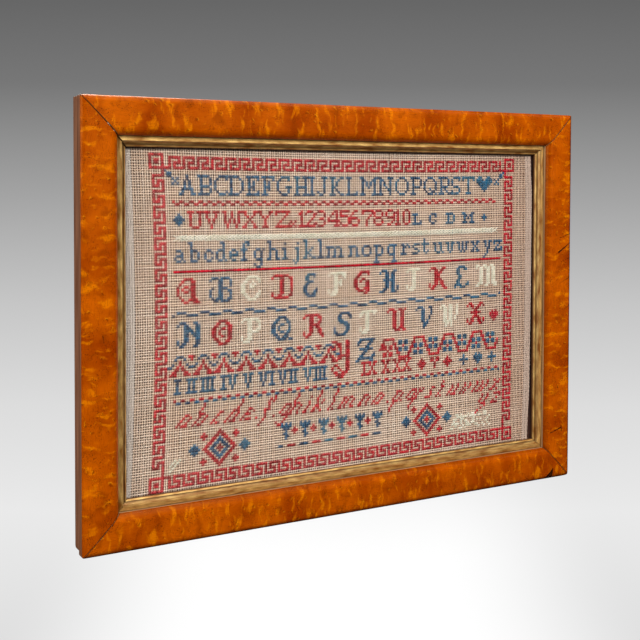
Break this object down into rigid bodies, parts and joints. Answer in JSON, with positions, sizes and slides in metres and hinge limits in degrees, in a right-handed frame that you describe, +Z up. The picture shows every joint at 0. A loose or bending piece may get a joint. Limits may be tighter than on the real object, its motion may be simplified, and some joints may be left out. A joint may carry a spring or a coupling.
{
  "type": "cross stitch sampler fitted in a wooden frame",
  "caption": "Alphabet sampler in cross stitch on open canvas, held in a veneered maple frame with cushion-shaped mitred rails, a gilt slip and a plain backing board.",
  "frame": {"origin": "on the flat back of the top rail, at mid width and mid height of that face, where the frame lies against the wall it hangs on", "axes": "+X to the viewer's right along the width, +Z up, +Y out of the back towards the wall; the front looks along -Y"},
  "size_m": [0.6, 0.0252, 0.433],
  "materials": {
    "maple": "bird's-eye maple veneer under aged amber varnish, softly glossy, with worn edges and small scratches",
    "gilt": "gold leaf on gesso and wood, worn and toned, dark in the hollows",
    "canvas": "undyed open cotton canvas with paler woven edges, worked in red, blue and cream thread",
    "board": "thin plain board, dark brown and matt"
  },
  "bodies": {
    "root": {"rail_top": "maple", "rail_bottom": "maple", "rail_left": "maple", "rail_right": "maple", "slip_top": "gilt", "slip_bottom": "gilt", "slip_left": "gilt", "slip_right": "gilt", "sampler_cloth": "canvas", "backing_board": "board"}
  },
  "joints": []
}
